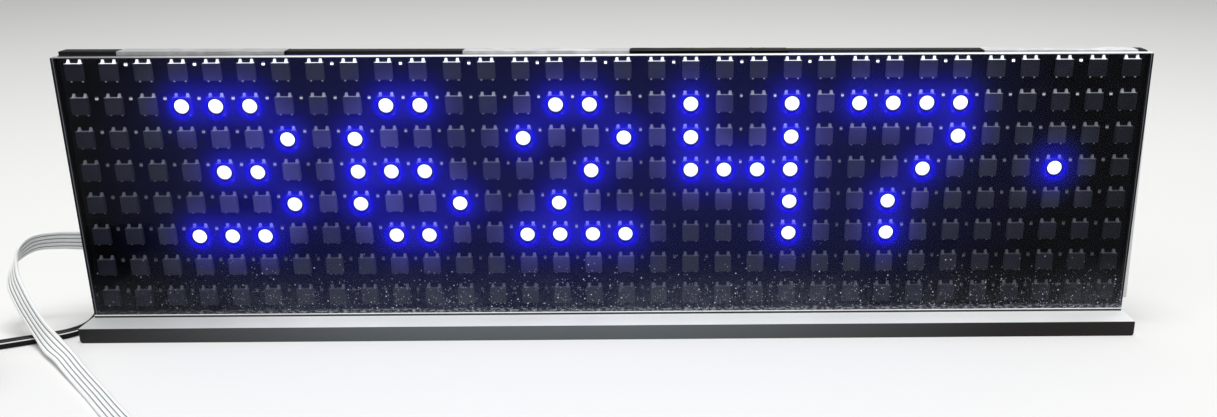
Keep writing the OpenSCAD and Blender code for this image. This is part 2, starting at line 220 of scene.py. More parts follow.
def softened(node, width, material, name=None):
    """A copy of a CAD node with doubles merged, flat faces made whole and sharp edges rounded, to a width in
    millimetres."""
    edited = bmesh.new()
    edited.from_mesh(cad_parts[node].data)
    bmesh.ops.remove_doubles(edited, verts=edited.verts, dist=0.002 * MM)
    bmesh.ops.dissolve_limit(edited, angle_limit=math.radians(0.5), verts=edited.verts, edges=edited.edges)
    sharp = [edge for edge in edited.edges
             if len(edge.link_faces) == 2 and edge.calc_face_angle() > math.radians(50)]
    bmesh.ops.bevel(edited, geom=sharp, offset=width * MM, offset_type="OFFSET", segments=2,
                    profile=0.5, affect="EDGES", clamp_overlap=True)
    name = name or node + "_finished"
    mesh = bpy.data.meshes.new(name)
    edited.to_mesh(mesh)
    edited.free()
    return settle(name, mesh, [material], (node,), 35)


def dress(node, material):
    """Gives a CAD node its material."""
    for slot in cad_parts[node].material_slots:
        slot.material = material


# ---- Materials ----

class Finish:
    """A material or world in the making: each method adds nodes and gives back an output."""

    def __init__(self, name, group="materials"):
        self.result = getattr(bpy.data, group).new(name)
        self.result.use_nodes = True
        self.tree = self.result.node_tree
        self.tree.nodes.clear()
        self.place = self.node("TexCoord").outputs["Object"]

    def node(self, kind, sockets=None, **settings):
        """A node with its settings. Each socket gets a link or a plain value; one number is a grey."""
        node = self.tree.nodes.new("ShaderNode" + kind)
        for key, value in settings.items():
            setattr(node, key, value)
        for key, value in (sockets or {}).items():
            socket = node.inputs[key]
            if isinstance(value, bpy.types.NodeSocket):
                self.tree.links.new(value, socket)
            elif socket.type == "RGBA":
                socket.default_value = (*np.broadcast_to(value, 3), 1)
            elif value is not None:
                socket.default_value = value
        return node

    def out(self, *kind, **settings):
        """The first output of a new node."""
        return self.node(*kind, **settings).outputs[0]

    def axis(self, letter, source=None):
        """One coordinate of the place or another vector."""
        return self.node("SeparateXYZ", {0: source or self.place}).outputs[letter]

    def upward(self):
        """How far the surface looks up, from -1 to 1."""
        return self.axis("Z", self.node("NewGeometry").outputs["Normal"])

    def stretched(self, scale=(1, 1, 1)):
        """The place scaled by three factors."""
        return self.out("Mapping", {"Vector": self.place, "Scale": scale})

    def noise(self, scale, stretch=(1, 1, 1), detail=3.0):
        """Soft noise; scale counts its features in each metre."""
        return self.out("TexNoise", {"Vector": self.stretched(stretch), "Scale": scale, "Detail": detail})

    def cells(self, scale, output="Distance"):
        """Distance to the nearest of scattered points, or its random colour."""
        return self.node("TexVoronoi", {"Vector": self.stretched(), "Scale": scale}).outputs[output]

    def bands(self, axis, scale, distortion=0.0):
        """Waves along one axis."""
        return self.node("TexWave", {"Vector": self.place, "Scale": scale, "Distortion": distortion},
                         bands_direction=axis).outputs["Fac"]

    def sum(self, kind, *values, clamp=False):
        """One step of arithmetic."""
        return self.out("Math", dict(enumerate(values)), operation=kind, use_clamp=clamp)

    def times(self, *values):
        """A product."""
        return reduce(lambda a, b: self.sum("MULTIPLY", a, b), values)

    def apart(self, value, at):
        """The distance of a value from another."""
        return self.sum("ABSOLUTE", self.sum("SUBTRACT", value, at))

    def between(self, value, low, high, to_low=0.0, to_high=1.0):
        """Eases a value from to_low at low to to_high at high, and holds it outside."""
        return self.out("MapRange", dict(enumerate((value, low, high, to_low, to_high))),
                        interpolation_type="SMOOTHSTEP")

    def blend(self, share, a, b):
        """Mixes two colours."""
        return self.node("Mix", {"Factor": share, "A": a, "B": b}, data_type="RGBA").outputs["Result"]

    def scaled(self, color, factor):
        """A colour times a number."""
        return self.out("VectorMath", {0: color, "Scale": factor}, operation="SCALE")

    def stored(self, name):
        """A number kept on the mesh."""
        return self.node("Attribute", attribute_name=name).outputs["Fac"]

    def bump(self, height, depth, normal=None):
        """Surface relief from a height of 0 to 1, depth millimetres deep."""
        return self.out("Bump", {"Height": height, "Distance": depth * MM, "Normal": normal})

    def surface(self, color, roughness, normal=None, **others):
        """The main shader; others are more sockets, with words joined by underscores."""
        others.update(Base_Color=color, Roughness=roughness, Normal=normal)
        return self.out("BsdfPrincipled", {key.replace("_", " "): value for key, value in others.items()})

    def either(self, share, first, second):
        """Mixes two shaders."""
        return self.out("MixShader", {0: share, 1: first, 2: second})

    def done(self, shader, kind="Material"):
        """Closes the tree and hands over what was made."""
        self.node("Output" + kind, {"Surface": shader})
        return self.result

    def plain(self, *terms, **others):
        """A material that is the main shader alone."""
        return self.done(self.surface(*terms, **others))


def shaded(color, factor):
    """A plain colour times a number."""
    return tuple(part * factor for part in color)


def drawn_metal(m, color, grain, clouds, stain, share, groove):
    """Tone and relief of sheet metal: faint cloudy stains, and fine drawn grain along one axis."""
    drawn = m.noise(1.0, grain, 2.0)
    tone = m.blend(m.between(m.noise(clouds, detail=4.0), 0.35, 0.7), shaded(color, stain), color)
    tone = m.blend(m.between(drawn, 0.3, 0.7, 0.0, share), tone, shaded(color, groove))
    return tone, m.bump(drawn, 0.004)


def mottled(name, pattern, first, second, rough, depth=0.0, light=None, span=None, relief=None, **others):
    """A finish whose tone wanders between two colours with soft noise, over a span of it. Its relief follows
    the same noise or a pattern of its own, and two numbers make it unevenly rough. light holds the terms of
    its glow."""
    m = Finish(name)
    patch = m.noise(*pattern)
    share = m.between(patch, *span) if span else patch
    rough = m.between(patch, 0.3, 0.7, *rough) if isinstance(rough, tuple) else rough
    others.update(glowing(m, *light) if light else {})
    normal = m.bump(relief(m) if relief else patch, depth) if depth else None
    return m.plain(m.blend(share, first, second), rough, normal, **others)


def moulded(name, color, rough):
    """Moulded plastic with a fine spark-eroded grain, a little dust and uneven gloss."""
    return mottled(name, (120.0, (1, 1, 1), 2.0), color, tuple(min(1.0, c * 1.18 + 0.006) for c in color),
                   (rough - 0.06, rough + 0.08), 0.01, span=(0.4, 0.75), relief=lambda m: m.noise(900.0))


# ---- Settings ----

def number(name, description, default, **others):
    """A number."""
    return FloatProperty(name=name, description=description, default=default, **others)


def length(name, description, default, least=MM):
    """A size in metres."""
    return number(name, description, default, unit="LENGTH", min=least)


def colour(name, description, default):
    """A colour with parts from 0 to 1."""
    return FloatVectorProperty(name=name, description=description, default=default, subtype="COLOR",
                               min=0, max=1)


def angle(name, description, degrees):
    """A turn."""
    return number(name, description, math.radians(degrees), subtype="ANGLE")


class MatrixLampSettings(bpy.types.PropertyGroup):
    """Sizes and colours of the lamps and their light."""
    light: colour("Light", "Colour of a lit window", (0.55, 0.62, 1.0))
    brightness: number("Brightness", "Strength of a lit window", 8.0, min=0)
    glow: colour("Glow", "Colour of the light spread round the lamps", (0.035, 0.03, 1.0))
    near_reach: length("Board reach", "Distance at which the glow on the board fades", 6 * MM)
    face_reach: length("Face reach", "Distance at which the glow on lamp faces fades", 8 * MM)
    wide_reach: length("Wide reach", "Distance at which the faint wide glow fades", 30 * MM)
    bump_w: length("Joint width", "Width of one solder joint", 1.15 * MM, 0.2 * MM)
    bump_gap: length("Joint spacing", "Distance between a lamp's two joints", 3.35 * MM)


class MatrixSheetSettings(bpy.types.PropertyGroup):
    """Look of the smoked sheet."""
    tint: colour("Tint", "Colour left after one face of the sheet", (0.55, 0.56, 0.6))
    gloss: number("Gloss", "Share kept of the mirror image", 0.08, subtype="FACTOR", min=0, max=1)
    halo: length("Halo", "Radius of the bright ring round a lit lamp", 4.8 * MM)


class MatrixMetalSettings(bpy.types.PropertyGroup):
    """Colours of the metal and tape."""
    bar: colour("Bar", "Colour of the bar and brackets", (0.9, 0.92, 0.92))
    tape: colour("Tape", "Colour of the silver tape", (0.74, 0.75, 0.76))


class MatrixCordSettings(bpy.types.PropertyGroup):
    """Sizes of the two cords."""
    ribbon_w: length("Ribbon width", "Width of the flat ribbon", 6.2 * MM)
    ribbon_t: length("Ribbon thickness", "Thickness of one core", 1.0 * MM, 0.3 * MM)
    cores: IntProperty(name="Cores", description="Cores in the ribbon", default=5, min=2, max=20)
    ribbon_length: length("Ribbon length", "Length from socket to connector", 0.6, 0.1)
    lead_w: length("Lead width", "Width of the twin lead", 4.2 * MM)
    lead_length: length("Lead length", "Length from terminal to plug", 1.2, 0.1)


class MatrixStageSettings(bpy.types.PropertyGroup):
    """The camera and the studio light."""
    eye: FloatVectorProperty(name="Camera", description="Place of the camera", unit="LENGTH",
                             subtype="TRANSLATION", default=(0.0166, -0.3517, 0.1332))
    heading: angle("Heading", "Turn of the view to the right", 0.66)
    tilt: angle("Tilt", "How far the view looks down", 18.69)
    roll: angle("Roll", "Turn of the view about its own line", -0.17)
    lens: number("Lens", "Focal length in millimetres", 34.18, min=5)
    shift_x: number("Shift X", "Sideways shift of the frame", -0.0556)
    shift_y: number("Shift Y", "Upward shift of the frame", 0.0493)
    key: number("Key", "Power of the main lamp in watts", 12.5, min=0)
    fill: number("Fill", "Power of the second lamp in watts", 3.0, min=0)
    sky: number("Sky", "Strength of the even light all round", 0.4, min=0)


# ---- Stage ----

class MATRIX_OT_stage(bpy.types.Operator):
    """Add the camera, the soft lamps and the pale floor"""
    bl_idname = "matrix.stage"
    bl_label = "Stage"

    def execute(self, context):
        stage = context.scene.matrix_stage
        add_camera(stage)
        add_area_lamp("key_lamp", (0.08, -0.1, 1.25), 0.6, stage.key)
        add_area_lamp("fill_lamp", (-0.9, -0.8, 0.8), 1.1, stage.fill)
        context.scene.world = studio_world(stage.sky)
        context.scene.view_settings.view_transform = "Standard"
        add_floor()
        return {"FINISHED"}


def add_camera(stage):
    """A camera rolled about its view, tilted down from level and turned to the right."""
    data = bpy.data.cameras.new("view")
    data.sensor_fit, data.clip_start = "HORIZONTAL", 0.01
    data.lens, data.shift_x, data.shift_y = stage.lens, stage.shift_x, stage.shift_y
    camera = linked("view", data)
    camera.matrix_world = (Matrix.Translation(stage.eye) @ Matrix.Rotation(-stage.heading, 4, "Z")
                           @ Matrix.Rotation(math.pi / 2 - stage.tilt, 4, "X")
                           @ Matrix.Rotation(stage.roll, 4, "Z"))
    bpy.context.scene.camera = camera


def add_area_lamp(name, place, size, power):
    """A square soft lamp that faces the panel's foot."""
    data = bpy.data.lights.new(name, "AREA")
    data.size, data.energy = size, power
    way = Vector((0, 0, 0.03)) - Vector(place)
    turn = way.to_track_quat("-Z", "Y").to_matrix().to_4x4()
    linked(name, data).matrix_world = Matrix.Translation(place) @ turn


def studio_world(strength):
    """Even light, and a plain pale wall where the camera or a reflection sees past the floor."""
    w = Finish("studio", "worlds")
    path = w.node("LightPath").outputs
    seen = w.sum("MAXIMUM", path["Is Camera Ray"], path["Is Glossy Ray"])
    soft = w.out("Background", {"Color": 1.0, "Strength": strength})
    return w.done(w.either(seen, soft, w.out("Background")), "World")


def add_floor():
    """A wide pale plane at the bar's underside."""
    half = 6.0
    mesh = bpy.data.meshes.new("floor")
    mesh.from_pydata([(-half, -half, 0), (half, -half, 0), (half, half, 0), (-half, half, 0)], [],
                     [(0, 1, 2, 3)])
    mesh.materials.append(mottled("floor_paper", (3.0,), (0.8, 0.8, 0.79), (0.84, 0.84, 0.83), 0.9,
                                  Specular_IOR_Level=0.1))
    return linked("floor", mesh)


# ---- Cords ----

# Routes of the frame's cords in millimetres from each exit; the ribbon's fourth number is how far its width
# has turned from upright to flat
RIBBON_POINTS = [(3.5, 0, 0, 0), (0, 0, 0, 0), (-8.5, 0, 0, 0), (-16.5, 0, 0.1, 0.03),
                 (-23.8, -0.8, 0.4, 0.13), (-29.8, -3.2, 0, 0.27), (-33, -7.4, -3.2, 0.36),
                 (-32.4, -12.4, -8.2, 0.36), (-28.2, -17.6, -12.8, 0.34), (-23, -22.8, -17, 0.33),
                 (-17.5, -28.2, -20.2, 0.4), (-12, -33.6, -22.2, 0.65), (-6, -39.6, -23.2, 0.92),
                 (0, -46.6, -23.9, 1), (7, -54.8, -24.3, 1), (13.8, -62.8, -24.5, 1),
                 (20.5, -71, -24.5, 1), (27.5, -79.4, -24.4, 0.95), (34.2, -87.4, -23.2, 0.7),
                 (40.6, -94.9, -21.8, 0.3), (45.8, -101.6, -21.7, 0.05), (49.6, -107.6, -21.7, 0)]
LEAD_POINTS = [(4, 0, 0), (0, 0, 0), (-3.6, 0.1, -0.5), (-6.6, 0.2, -2.1), (-8.9, 0, -4.6),
               (-10.4, -0.7, -7.5), (-11.1, -2.1, -10.2), (-11.4, -4.3, -12.4), (-11.4, -7.1, -13.8),
               (-11.4, -10.3, -14.4), (-11.4, -13.6, -14.4), (-12.2, -17, -14.4), (-14.6, -20.5, -14.4),
               (-18.2, -23, -14.4), (-25, -26.4, -14.4), (-32, -29.9, -14.4), (-39, -33, -14.4),
               (-46, -34.9, -14.4), (-53, -35.8, -14.4)]
RIBBON_SEAT = 7 * MM
RIBBON_TURNS = 2
RIBBON_LEAVE = math.radians(-15)
RIBBON_SPACING = 2.6 * MM
LEAD_SPACING = 2.2 * MM
LEAD_TURNS = 7.3
LEAD_GAP = 0.15 * MM
# Where each turn of the lead begins: 1 on the coil's outer side, 0 on its inner, and its layer
LEAD_OUTER = np.array([1, 0, 0, 1, 1, 0, 0, 1, 1])
LEAD_LAYER = np.array([0, 0, 1, 1, 2, 2, 3, 3, 3])
# The point of the lead's outline where its pale line runs
PALE_LINE = 11


def through(points, steps=8):
    """A smooth line: between points, the cubic whose slope at each is half the way from the one before to
    the one after."""
    padded = np.concatenate([2 * points[:1] - points[1:2], points, 2 * points[-1:] - points[-2:-1]])
    a, b, c, d = (padded[k:len(padded) - 3 + k][:, None] for k in range(4))
    t = (np.arange(steps) / steps)[None, :, None]
    curve = 0.5 * (2 * b + (c - a) * t + (2 * a - 5 * b + 4 * c - d) * t ** 2
                   + (3 * b - a - 3 * c + d) * t ** 3)
    return np.concatenate([curve.reshape(-1, points.shape[1]), points[-1:]])


def arc_between(start, start_way, end, end_way, pull, steps=40):
    """A cubic that leaves and arrives along the given ways; pull sets how far it keeps to each."""
    t = np.linspace(0, 1, steps)[:, None]
    first, last = start + start_way * pull[0], end - end_way * pull[1]
    return (1 - t) ** 3 * start + 3 * t * (1 - t) ** 2 * first + 3 * t ** 2 * (1 - t) * last + t ** 3 * end


def circled(centre, radius, turn, height):
    """Places round a centre by radius, turn and height."""
    return np.stack([centre[0] + radius * np.cos(turn), centre[1] + radius * np.sin(turn),
                     np.broadcast_to(height, turn.shape)], -1)


def evenly(points, step):
    """The same line with points about a step apart."""
    along = np.concatenate([[0], np.cumsum(np.linalg.norm(np.diff(points[:, :3], axis=0), axis=1))])
    wanted = np.linspace(0, along[-1], max(2, int(round(along[-1] / step)) + 1))
    return np.stack([np.interp(wanted, along, column) for column in points.T], -1)


def eased(value):
    """0 to 1 with a soft start and end."""
    t = np.clip(value, 0, 1)
    return t * t * (3 - 2 * t)


def unit(vectors):
    """Vectors of length one."""
    return vectors / np.linalg.norm(vectors, axis=-1, keepdims=True)


def laid(line, lay):
    """A line with its lay as the fourth number."""
    return np.column_stack([line, np.broadcast_to(lay, len(line))])


def swept(line, profile):
    """Rings of a profile, whose columns are parts across and out, carried along a line. The way across is
    upright where the line's lay is 0 and level where it is 1, made square to the line."""
    along = unit(np.gradient(line[:, :3], axis=0))
    side = unit(np.stack([-along[:, 1], along[:, 0], np.zeros(len(line))], -1))
    across = np.array([0, 0, 1.0]) * (1 - line[:, 3:]) + side * line[:, 3:]
    across = unit(across - along * (across * along).sum(1)[:, None])
    out = np.cross(along, across)
    return line[:, None, :3] + across[:, None] * profile[:, :1] + out[:, None] * profile[:, 1:2]


def lobed_profile(cores, width, thickness, web=0.5):
    """Outline of round cores side by side, and how near each point is to a core's crest: the half height is
    a row of arches, with a web between cores."""
    points_each = 6
    steps = np.arange(cores * points_each + 1) / points_each
    u = steps / cores * 2 - 1
    arch = np.sqrt(np.clip(1 - (steps % 1.0 * 2 - 1) ** 2, 0, 1))
    edge = np.clip((1 - np.abs(u)) * cores, 0, 1)
    half = thickness / 2 * np.where(edge < 1, np.sqrt(np.clip(1 - (1 - edge) ** 2, 0, 1)),
                                    np.maximum(arch, web))
    crest = np.maximum(arch, np.clip(1 - edge, 0, 1) * (edge < 1 / 3))
    top = np.stack([u * width / 2, half, crest], -1)
    return np.concatenate([top, (top[::-1] * (1, -1, 1))[1:-1]])


def ribbon_line():
    """The ribbon's route from the socket, a spiral on edge that closes by one spacing each turn, and a run
    across the coil's middle to the connector, twisting flat on the way."""
    exit_place = left_middle("ribbon_socket")
    centre, connector = middle("ribbon_coil"), middle("ribbon_connector")
    route = np.array(RIBBON_POINTS) * (MM, MM, MM, 1) + (*exit_place, 0)
    arrival = route[-1, :3] - centre
    outward = unit((connector - centre) * (1, 1, 0))
    entry = connector - outward * RIBBON_SEAT
    end_turn = math.atan2(outward[1], outward[0]) + math.pi - RIBBON_LEAVE - 2 * math.pi * RIBBON_TURNS
    turn = np.linspace(math.atan2(arrival[1], arrival[0]), end_turn, 160)
    radius = math.hypot(*arrival[:2]) - RIBBON_SPACING * (turn[0] - turn) / (2 * math.pi)
    spiral = circled(centre, radius, turn, route[-1, 2])
    leave_way = np.array([math.sin(end_turn), -math.cos(end_turn), 0])
    run = arc_between(spiral[-1], leave_way, entry, outward, (22 * MM, 20 * MM))
    run = laid(run, eased(np.linspace(-0.15, 1.1, len(run))))
    inside = laid([entry + outward * 2 * MM], 1)
    return exit_place, np.concatenate([through(route), laid(spiral[1:], 0), run[1:], inside])


def lead_line(width):
    """The lead's route from the terminal, turns that lie side by side and layer on layer, and a run down
    beside the coil into the plug."""
    exit_place, entry = left_middle("power_terminal"), left_middle("lead_plug")
    centre = middle("lead_coil")
    route = np.array(LEAD_POINTS) * MM + exit_place
    outer = centre[0] - left_middle("lead_coil")[0] - width / 2 - LEAD_GAP
    arrival = route[-1] - centre
    turns = np.linspace(0, LEAD_TURNS, int(LEAD_TURNS * 60))
    whole = np.minimum(turns.astype(int), len(LEAD_LAYER) - 2)
    change = eased((turns - whole - 0.8) / 0.2)
    side, layer = (table[whole] * (1 - change) + table[whole + 1] * change
                   for table in (LEAD_OUTER, LEAD_LAYER))
    radius = outer - (width + LEAD_GAP) * (1 - side)
    radius += (math.hypot(*arrival[:2]) - outer) * (1 - eased(turns / 0.3))
    turn = math.atan2(arrival[1], arrival[0]) + turns * 2 * math.pi
    coil = circled(centre, radius, turn, route[-1, 2] + LEAD_SPACING * layer)
    ahead = np.array([1.0, 0, 0])
    run = arc_between(coil[-1], unit(coil[-1] - coil[-2]), entry, ahead, (11 * MM, 9 * MM))
    inside = [entry + 3 * MM * ahead]
    return exit_place, laid(np.concatenate([through(route), coil[1:], run[1:], inside]), 1)


def cord_piece(name, line, profile, step, material, replaces):
    """A closed tube along the line, with the profile's third column kept as crest, and its path."""
    even = evenly(line, step)
    crest = np.concatenate([np.tile(profile[:, 2], len(even)), [1.0, 1.0]])
    piece = new_piece(name, shell_of_rings(swept(even, profile)), [material], replaces, smooth=60,
                      kept={"crest": crest})
    return piece, [tuple(place) for place in even[:, :3].tolist()]


class MATRIX_OT_cords(bpy.types.Operator):
    """Add the white ribbon and the black twin lead"""
    bl_idname = "matrix.cords"
    bl_label = "Cords"

    def execute(self, context):
        cords = context.scene.matrix_cords
        exit_place, line = ribbon_line()
        flat = lobed_profile(cords.cores, cords.ribbon_w, cords.ribbon_t)
        # The ribbon's dark tone where crest is low is painted shade in the grooves between its cores.
        sheath = cord_sheath("ribbon_sheath", 55.0, 0.5, ((0.9, 0.91, 0.91), (0.76, 0.77, 0.76)),
                             (0.3, 0.66), (0.11, 0.13, 0.13), (0.34, 0.46), 2500.0, 0.006,
                             Subsurface_Weight=0.1, Subsurface_Radius=(MM, MM, MM))
        ribbon, path = cord_piece("ribbon", line, flat, 1.3 * MM, sheath,
                                  ("ribbon_cable", "ribbon_coil"))
        connector = softened("ribbon_connector", 0.25,
                             moulded("connector_plastic", (0.02, 0.02, 0.021), 0.42))
        tie = softened("ribbon_tie", 0.35, tie_plastic("ribbon_tie_nylon"))
        exit_place, line = lead_line(cords.lead_w)
        twin = lobed_profile(2, cords.lead_w, cords.lead_w / 2, web=0.45)
        # On the lead, crest is 0 only along one pale line
        twin[:, 2] = np.arange(len(twin)) != PALE_LINE
        sheath = cord_sheath("lead_sheath", 70.0, 1.0, ((0.004, 0.004, 0.005), (0.012, 0.012, 0.011)),
                             (0.22, 0.34), (0.75, 0.75, 0.74), (0.4, 0.55), 2200.0, 0.008,
                             Specular_IOR_Level=0.15)
        lead, path = cord_piece("lead", line, twin, 1.4 * MM, sheath,
                                ("power_lead", "lead_coil"))
        plug, barrel = add_plug()
        tie = softened("lead_tie", 0.35, tie_plastic("lead_tie_nylon"))
        return {"FINISHED"}


def cord_sheath(name, clouds, share, tones, low, low_tone, gloss, grain, depth, **others):
    """A sheath with handling marks, fine grain and another tone where crest is low: painted shade in the
    ribbon's grooves, a pale line on the lead.
    """
    m = Finish(name)
    marks = m.noise(clouds, detail=5.0)
    tone = m.blend(m.between(marks, 0.45, 0.8, 0.0, share), *tones)
    tone = m.blend(m.between(m.stored("crest"), *low), low_tone, tone)
    fine = m.bump(m.noise(grain, detail=2.0), depth)
    return m.plain(tone, m.between(marks, 0.3, 0.7, *gloss), fine, **others)


def tie_plastic(name):
    """Ribbed black nylon."""
    return mottled(name, (1500.0,), 0.018, 0.04, 0.45, 0.12, relief=lambda m: m.bands("Z", 260.0))


def turned(profile, start, around=40):
    """A shell turned about the X axis: each profile point is a distance along and a radius."""
    turn = np.arange(around) * 2 * np.pi / around
    along, radius = profile[:, :1], profile[:, 1:]
    rings = np.stack([along + 0 * turn, radius * np.cos(turn), radius * np.sin(turn)], -1)
    return shell_of_rings(rings + start)


def add_plug():
    """A tapered relief with ring grooves, a body with round shoulders and finger rings, and a barrel."""
    low, high = box("lead_plug")
    start = left_middle("lead_plug")
    relief, barrel, rounding = 14 * MM, 9.5 * MM, 2.2 * MM
    body = high[0] - low[0] - relief - barrel
    tip = relief + body
    t = np.linspace(0, 1, 57)
    groove = 0.5 - 0.5 * np.cos(t * 2 * np.pi * 6)
    cone = np.stack([t * relief, (2.5 + t * 1.0) * MM - groove * 0.45 * MM * (t > 0.04)], -1)
    s = np.linspace(0, 1, 61)
    shoulder = np.minimum(s, 1 - s) * body
    curve = np.sqrt(np.clip(1 - np.clip(1 - shoulder / rounding, 0, 1) ** 2, 0, 1))
    rings = 0.18 * MM * (0.5 - 0.5 * np.cos(s * 2 * np.pi * 12)) * ((s > 0.3) & (s < 0.7))
    hull = np.stack([relief + s * body, (high[2] - low[2]) / 2 - rounding * (1 - curve) - rings], -1)
    profile = np.concatenate([[[0, 1.3 * MM]], cone, hull, [[tip, 3.0 * MM]]])
    plug = new_piece("lead_plug_body", turned(profile, start),
                     [moulded("plug_plastic", (0.016, 0.016, 0.017), 0.4)], ("lead_plug",))
    tube = np.array([[tip - MM, 2.6 * MM], [tip + barrel - 0.3 * MM, 2.75 * MM],
                     [tip + barrel, 2.5 * MM], [tip + barrel, 1.2 * MM],
                     [tip + barrel - 0.3 * MM, 1.05 * MM], [tip + MM, 1.05 * MM]])
    m = Finish("plug_nickel")
    scratch = m.noise(1.0, (4000, 300, 300), 2.0)
    nickel = m.plain((0.72, 0.71, 0.69), m.between(scratch, 0.3, 0.7, 0.18, 0.32),
                     m.bump(scratch, 0.003), Metallic=1.0)
    return plug, new_piece("lead_plug_barrel", turned(tube, start), [nickel])


# ---- Lamps ----

def glowing(m, share, near, far, turn=(0.15, 0.45), daylight=0.0, ahead=0.0):
    """The glow kept on the mesh, in the near colour where it is strong and the far one where it is weak. The
    daylight kept there is added on faces that look up and, by the share ahead, on all others."""
    glow = m.stored("glow")
    light = m.scaled(m.blend(m.between(glow, *turn), far, near), m.times(glow, share))
    if daylight:
        above = m.times(m.stored("daylight"), m.sum("MAXIMUM", m.upward(), ahead), daylight)
        light = m.out("VectorMath", {0: light, 1: m.scaled((1.0, 1.0, 0.98), above)}, operation="ADD")
    return {"Emission_Color": light, "Emission_Strength": 1.0}


FACE_LIGHT = ((0.3, 0.28, 1.5), (0.6, 0.68, 1.2))
TIN_LIGHT = ((0.65, 0.65, 3.0), (0.24, 0.23, 1.2))
# Turn between the weak and the strong colour, daylight and the share of it on faces that don't look up
JOINT_LIGHT = ((0.35, 0.8), 8.0, 0.25)
CAP_LIGHT = ((0.15, 0.45), 1.2, 0.1)
CERAMIC_LIGHT = ((0.15, 0.45), 9.0, 1.3)


def smoked_face(name, dark, light, rough):
    """The printed face of a housing, or the resin of a lamp that is off."""
    return mottled(name, (250.0, (1, 1, 1), 1.0), dark, light, rough, 0.006, (0.4, *FACE_LIGHT),
                   relief=lambda m: m.noise(1500.0))


def lamp_side():
    """A housing's moulded sides, painted pale where they look up: painted light from above."""
    m = Finish("lamp_side")
    dark = m.blend(m.noise(700.0), (0.13, 0.13, 0.135), (0.18, 0.18, 0.185))
    # Up-facing faces are painted pale as painted light from above; the others stay dark.
    tone = m.blend(m.between(m.upward(), 0.3, 0.7), dark, 0.3)
    return m.plain(tone, 0.4, **glowing(m, 0.3, *FACE_LIGHT, daylight=5.0))


def banded(rings, band):
    """A shell of rings, and for each face a 1 where it lies past the band's ring, or a 0."""
    points, faces = shell_of_rings(rings)
    return (points, faces), (np.arange(len(faces)) // rings.shape[1] == band).astype(int)


class MATRIX_OT_lamps(bpy.types.Operator):
    """Add the lamp housings row by row and the resin in their windows"""
    bl_idname = "matrix.lamps"
    bl_label = "Lamps"

    def execute(self, context):
        """Copies one housing along each row, a square body with rounded front edges and a round cup, and one
        resin window to each lit and unlit cell."""
        face = smoked_face("lamp_face", (0.1, 0.098, 0.103), (0.15, 0.147, 0.153), 0.6)
        side, half = lamp_side(), LAMP_W / 2
        housing, numbers = banded(np.stack([
            ring(half, 0, square=True), ring(half, FACE_DEPTH + 0.12 * MM, square=True),
            ring(half - 0.09 * MM, FACE_DEPTH, square=True), ring(CUP_RADIUS, FACE_DEPTH),
            ring(WINDOW_RADIUS, FACE_DEPTH + 0.15 * MM)]), 0)
        for row in range(ROWS):
            shape = repeated(housing, grid_places(EVERY)[row * COLUMNS:][:COLUMNS])
            new_piece(f"lamp_housings_{row + 1}", shape, [face, side], (f"led_row_{row + 1}",),
                      np.tile(numbers, COLUMNS), light_on(shape[0], True), smooth=30)
        depths = ((WINDOW_RADIUS, 0.4), (2.12 * MM, 0.1), (1.7 * MM, 0.06), (0.9 * MM, 0.04))
        window = shell_of_rings(np.stack([ring(radius, FACE_DEPTH + depth * MM) for radius, depth in depths]))
        new_piece("lit_windows", repeated(window, grid_places(LIT)), [lit_resin(context.scene.matrix_lamps)],
                  ("led_windows_lit",))
        off = repeated(window, grid_places(EVERY - LIT))
        resin = smoked_face("unlit_resin", (0.09, 0.088, 0.092), (0.14, 0.137, 0.142), 0.45)
        new_piece("unlit_windows", off, [resin], ("led_windows_unlit",),
                  kept=light_on(off[0], True))
        return {"FINISHED"}


def lit_resin(lamps):
    """Resin full of light."""
    m = Finish("lit_resin")
    tone = m.blend(m.between(m.noise(900.0), 0.3, 0.7, 0.0, 0.12), lamps.light, 1.0)
    return m.plain(0.8, 0.3, Emission_Color=tone, Emission_Strength=lamps.brightness)


# ---- Board ----

class MATRIX_OT_board(bpy.types.Operator):
    """Add the black lamp board with its solder joints and capacitors"""
    bl_idname = "matrix.board"
    bl_label = "Board"

    def execute(self, context):
        """Makes the board as a fine grid, four joints to each lamp and the capacitors."""
        low, high = box("led_board")
        steps_each = 5
        board = shell_of_rings(slab_rings(np.linspace(low[0], high[0], COLUMNS * steps_each + 1),
                                          np.linspace(low[2], high[2], ROWS * steps_each + 1),
                                          low[1], high[1], 0.02 * MM))
        glow = context.scene.matrix_lamps.glow
        mask = mottled("board_mask", (1.0, (900, 900, 2500), 2.0), (0.006, 0.006, 0.008),
                       (0.012, 0.012, 0.015), 0.5, 0.01, (1.0, glow, (0.1, 0.12, 0.9), (0.03, 0.3)),
                       Specular_IOR_Level=0.25)
        new_piece("board", board, [mask], ("led_board",), kept=light_on(board[0]), smooth=30)
        joints = joined([repeated(solder_joint(side, end), grid_places(EVERY))
                         for side in (-1, 1) for end in (-1, 1)])
        tin = mottled("solder", (900.0,), (0.86, 0.86, 0.85), (0.62, 0.61, 0.6), (0.3, 0.45), 0.03,
                      (0.8, *TIN_LIGHT, *JOINT_LIGHT), (0.3, 0.8), Metallic=0.3)
        new_piece("solder_joints", joints, [tin], kept=light_on(joints[0]), smooth=60)
        add_capacitors()
        return {"FINISHED"}


def slab_rings(stations, heights, front, rear, bevel):
    """A thin upright slab as rings along X, each up the front face, over a small bevel, down the rear face
    and back, with points at every height."""
    bottom, top = heights[0], heights[-1]
    inner = np.clip(heights, bottom + bevel, top - bevel)
    up, down = (np.column_stack([0 * inner + face, way])
                for face, way in ((front, inner), (rear, inner[::-1])))
    loop = np.concatenate([up, [[front + bevel, top], [rear - bevel, top]], down,
                           [[rear - bevel, bottom], [front + bevel, bottom]]])
    x = np.repeat(stations[:, None], len(loop), 1)
    return np.concatenate([x[..., None], np.repeat(loop[None], len(stations), 0)], -1)


